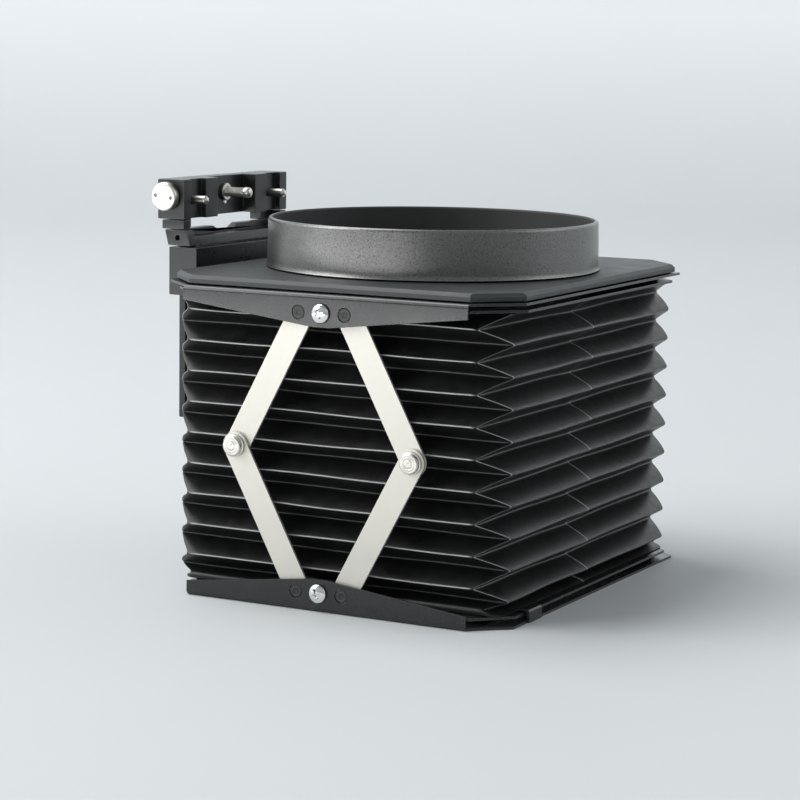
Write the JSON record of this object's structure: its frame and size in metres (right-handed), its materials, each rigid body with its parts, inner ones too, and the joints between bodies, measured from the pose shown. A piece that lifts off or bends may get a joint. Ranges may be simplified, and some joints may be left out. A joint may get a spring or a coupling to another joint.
{
  "type": "bellows lens hood for a view camera",
  "caption": "Rectangular bellows lens hood for a view camera, with a round lens collar, folding lozenge struts on two sides, an open front frame and a sliding mounting bracket.",
  "frame": {"origin": "middle of the object's footprint, on the surface that the open front frame stands on", "axes": "+Z along the optical axis towards the lens collar; -X towards the mounting bracket, which is uppermost on the camera; the folding struts are on the -Y and +Y sides"},
  "size_m": [0.1552, 0.15, 0.1279],
  "materials": {
    "strut_nickel": "satin nickel plate",
    "rivet_steel": "satin",
    "screw_chrome": "bright",
    "rivet_black": "satin black",
    "frame_black": "satin black paint",
    "bellows_leatherette": "fine-grained black leatherette, satin",
    "panel_paint": "satin blue-grey black paint",
    "collar_crinkle": "fine crinkle paint, dark grey",
    "slide_anodised": "dark grey anodised",
    "bar_anodised": "dark grey anodised, matt",
    "rail_black": "satin black",
    "pin_steel": "turned",
    "cap_silver": "bright satin"
  },
  "bodies": {
    "front": {"front_frame": "frame_black", "front_bellows_frame": "frame_black", "front_clip": "frame_black", "bellows": "bellows_leatherette", "front_screw_near": "screw_chrome", "front_screw_far": "screw_chrome", "front_pivot_near_left": "rivet_black", "front_pivot_near_right": "rivet_black", "front_pivot_far_left": "rivet_black", "front_pivot_far_right": "rivet_black"},
    "rear": {"rear_frame": "frame_black", "rear_bellows_frame": "frame_black", "lens_panel": "panel_paint", "lens_collar": "collar_crinkle", "rear_screw_near": "screw_chrome", "rear_screw_far": "screw_chrome", "rear_pivot_near_left": "rivet_black", "rear_pivot_near_right": "rivet_black", "rear_pivot_far_left": "rivet_black", "rear_pivot_far_right": "rivet_black", "carriage": "slide_anodised", "carriage_screw_near": "rivet_steel", "carriage_screw_far": "rivet_steel"},
    "bracket": {"mounting_bar": "bar_anodised", "neck_near": "slide_anodised", "neck_far": "slide_anodised", "slide_block": "slide_anodised", "slide_rail_near": "rail_black", "slide_rail_far": "rail_black", "rail_stop_near": "rail_black", "rail_stop_far": "rail_black", "locating_pin_near": "pin_steel", "locating_pin_far": "pin_steel", "set_screw": "screw_chrome", "end_cap": "cap_silver"},
    "lock_screw": {"lock_screw": "rail_black"},
    "thumb_screw": {"thumb_screw": "pin_steel"},
    "lower_near_left": {"lower_strut_near_left": "strut_nickel", "knee_near_left": "rivet_steel"},
    "upper_near_left": {"upper_strut_near_left": "strut_nickel"},
    "lower_near_right": {"lower_strut_near_right": "strut_nickel", "knee_near_right": "rivet_steel"},
    "upper_near_right": {"upper_strut_near_right": "strut_nickel"},
    "lower_far_left": {"lower_strut_far_left": "strut_nickel", "knee_far_left": "rivet_steel"},
    "upper_far_left": {"upper_strut_far_left": "strut_nickel"},
    "lower_far_right": {"lower_strut_far_right": "strut_nickel", "knee_far_right": "rivet_steel"},
    "upper_far_right": {"upper_strut_far_right": "strut_nickel"}
  },
  "joints": [
    {"name": "fold", "type": "hinge", "parent": "front", "child": "lower_near_right", "pos_m": [0.02305, -0.07165, 0.0059], "axis": [0, 1, 0], "range_deg": [0, 39.1], "deforming": ["bellows"]},
    {"name": "knee_near_right_pivot", "type": "hinge", "parent": "lower_near_right", "child": "upper_near_right", "pos_m": [0.04605, -0.0712, 0.0491], "axis": [0, 1, 0], "range_deg": [-78.2, 0]},
    {"name": "lower_near_left_pivot", "type": "hinge", "parent": "front", "child": "lower_near_left", "pos_m": [0.00705, -0.07165, 0.0059], "axis": [0, -1, 0], "range_deg": [0, 39.1]},
    {"name": "knee_near_left_pivot", "type": "hinge", "parent": "lower_near_left", "child": "upper_near_left", "pos_m": [-0.01595, -0.0712, 0.0491], "axis": [0, -1, 0], "range_deg": [-78.2, 0]},
    {"name": "lower_far_right_pivot", "type": "hinge", "parent": "front", "child": "lower_far_right", "pos_m": [0.02305, 0.07165, 0.0059], "axis": [0, 1, 0], "range_deg": [0, 39.1]},
    {"name": "knee_far_right_pivot", "type": "hinge", "parent": "lower_far_right", "child": "upper_far_right", "pos_m": [0.04605, 0.0712, 0.0491], "axis": [0, 1, 0], "range_deg": [-78.2, 0]},
    {"name": "lower_far_left_pivot", "type": "hinge", "parent": "front", "child": "lower_far_left", "pos_m": [0.00705, 0.07165, 0.0059], "axis": [0, -1, 0], "range_deg": [0, 39.1]},
    {"name": "knee_far_left_pivot", "type": "hinge", "parent": "lower_far_left", "child": "upper_far_left", "pos_m": [-0.01595, 0.0712, 0.0491], "axis": [0, -1, 0], "range_deg": [-78.2, 0]},
    {"name": "rear_pivot", "type": "hinge", "parent": "upper_near_right", "child": "rear", "pos_m": [0.02305, -0.07045, 0.0923], "axis": [0, 1, 0], "range_deg": [0, 39.1]},
    {"name": "bracket_slide", "type": "slide", "parent": "rear", "child": "bracket", "axis": [0, 0, 1], "range_m": [0, 0.0375]},
    {"name": "lock_turn", "type": "hinge", "parent": "rear", "child": "lock_screw", "pos_m": [-0.06895, 0.0285, 0.0978], "axis": [-1, 0, 0], "range_deg": [0, 180]},
    {"name": "thumb_screw_turn", "type": "hinge", "parent": "bracket", "child": "thumb_screw", "pos_m": [-0.07395, 0, 0.1223], "axis": [-1, 0, 0], "continuous": true}
  ],
  "couplings": [
    {"joint": "knee_near_right_pivot", "follows": "fold", "ratio": -2},
    {"joint": "lower_near_left_pivot", "follows": "fold", "ratio": 1},
    {"joint": "knee_near_left_pivot", "follows": "fold", "ratio": -2},
    {"joint": "lower_far_right_pivot", "follows": "fold", "ratio": 1},
    {"joint": "knee_far_right_pivot", "follows": "fold", "ratio": -2},
    {"joint": "lower_far_left_pivot", "follows": "fold", "ratio": 1},
    {"joint": "knee_far_left_pivot", "follows": "fold", "ratio": -2},
    {"joint": "rear_pivot", "follows": "fold", "ratio": 1}
  ]
}
